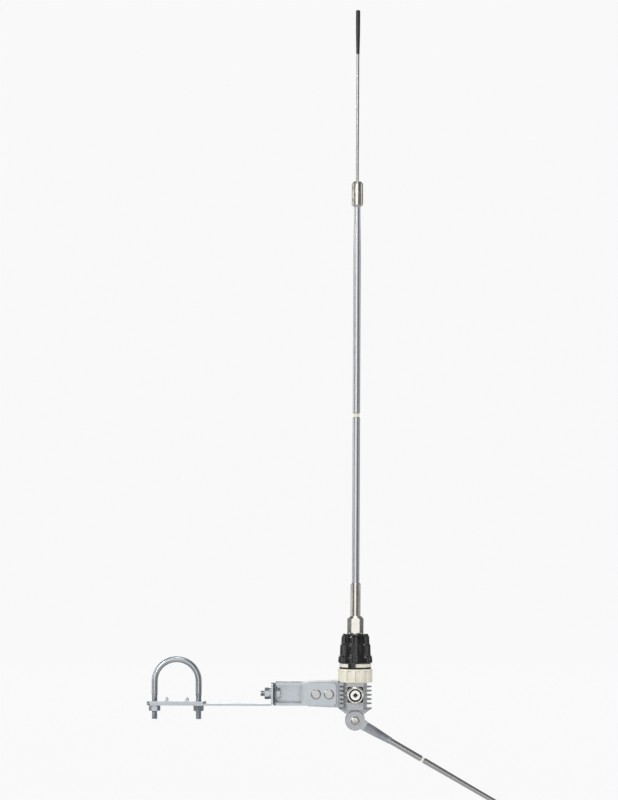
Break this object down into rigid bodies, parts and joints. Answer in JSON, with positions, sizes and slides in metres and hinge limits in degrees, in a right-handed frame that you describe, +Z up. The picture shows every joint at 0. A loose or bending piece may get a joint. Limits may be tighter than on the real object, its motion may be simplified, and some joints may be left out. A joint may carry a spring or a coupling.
{
  "type": "omnidirectional antenna",
  "caption": "Vertical whip antenna on a swivelling mast clamp arm, with a finned housing, coaxial socket, screw locking cap, tuning rod and one folding radial.",
  "frame": {"origin": "centre of the mast in the U-bolt clamp", "axes": "+Z up along the whip, +X along the arm from the mast to the whip, +Y along the mast or rail, away from the coaxial socket's side"},
  "size_m": [0.5549, 0.0448, 0.9117],
  "materials": {
    "zinc_steel": "zinc-plated, satin",
    "stainless": "drawn, fine brushed",
    "cast_aluminium": "satin die casting",
    "nickel_brass": "nickel plated",
    "brass": "turned",
    "copper": "enamelled wire",
    "black_nylon": "moulded, fine grain",
    "pale_nylon": "moulded",
    "ptfe": "turned, waxy",
    "rubber": "matt",
    "anodised_aluminium": "clear anodised, satin drawn"
  },
  "bodies": {
    "clamp": {"clamp_bracket": "zinc_steel", "mast_saddle": "zinc_steel", "u_bolt_washers": "zinc_steel", "u_bolt_nuts": "zinc_steel", "pivot_bolt": "zinc_steel", "pivot_spring_washer": "zinc_steel", "pivot_nut": "zinc_steel"},
    "u_bolt": {"u_bolt": "zinc_steel"},
    "antenna": {"arm_channel": "zinc_steel", "arm_rivets": "stainless", "housing": "cast_aluminium", "connector_gasket": "rubber", "connector_shell": "nickel_brass", "connector_insulator": "ptfe", "socket_seal": "rubber", "connector_contact": "nickel_brass", "coil_former": "ptfe", "matching_coil": "copper", "feed_lead": "copper", "earth_lead": "copper", "base_insulator": "pale_nylon", "whip_o_ring": "rubber", "weather_gasket": "rubber", "seal_ring": "pale_nylon", "contact_stud": "brass", "contact_spring": "stainless", "contact_plunger": "brass", "whip_base": "nickel_brass", "whip_sleeve": "nickel_brass", "lower_tube": "anodised_aluminium", "upper_tube": "anodised_aluminium", "lower_joint_insert": "brass", "upper_joint_insert": "brass", "joint_stud": "stainless", "joint_spacer": "pale_nylon", "tip_coupling": "nickel_brass", "coupling_screws": "stainless"},
    "cap_carrier": {"thrust_washer": "ptfe"},
    "cap": {"lock_cap": "black_nylon"},
    "tip": {"tuning_rod": "stainless", "rod_tip_cap": "black_nylon"},
    "radial": {"radial_fork": "cast_aluminium", "hinge_bolt": "stainless", "hinge_washers": "stainless", "hinge_nut": "stainless", "radial_inner_rod": "stainless", "radial_outer_rod": "stainless", "radial_joint_stud": "stainless", "radial_joint_spacer": "pale_nylon", "radial_tip_cap": "black_nylon"}
  },
  "joints": [
    {"name": "ubolt_slide", "type": "slide", "parent": "clamp", "child": "u_bolt", "axis": [0, 0, 1], "range_m": [-0.01, 0]},
    {"name": "arm_swivel", "type": "hinge", "parent": "clamp", "child": "antenna", "pos_m": [0.0966, 0, -0.0117], "axis": [1, 0, 0], "continuous": true},
    {"name": "cap_rise", "type": "slide", "parent": "antenna", "child": "cap_carrier", "axis": [0, 0, 1], "range_m": [0, 0.004]},
    {"name": "cap_turn", "type": "hinge", "parent": "cap_carrier", "child": "cap", "pos_m": [0.1785, 0, 0.03], "axis": [0, 0, 1], "range_deg": [0, 720]},
    {"name": "tip_slide", "type": "slide", "parent": "antenna", "child": "tip", "axis": [0, 0, 1], "range_m": [-0.04, 0.01]},
    {"name": "radial_fold", "type": "hinge", "parent": "antenna", "child": "radial", "pos_m": [0.1785, 0, -0.0382], "axis": [0, 1, 0], "range_deg": [-30, 60]}
  ],
  "couplings": [
    {"joint": "cap_rise", "follows": "cap_turn", "m_per_rad": 0.000318}
  ]
}
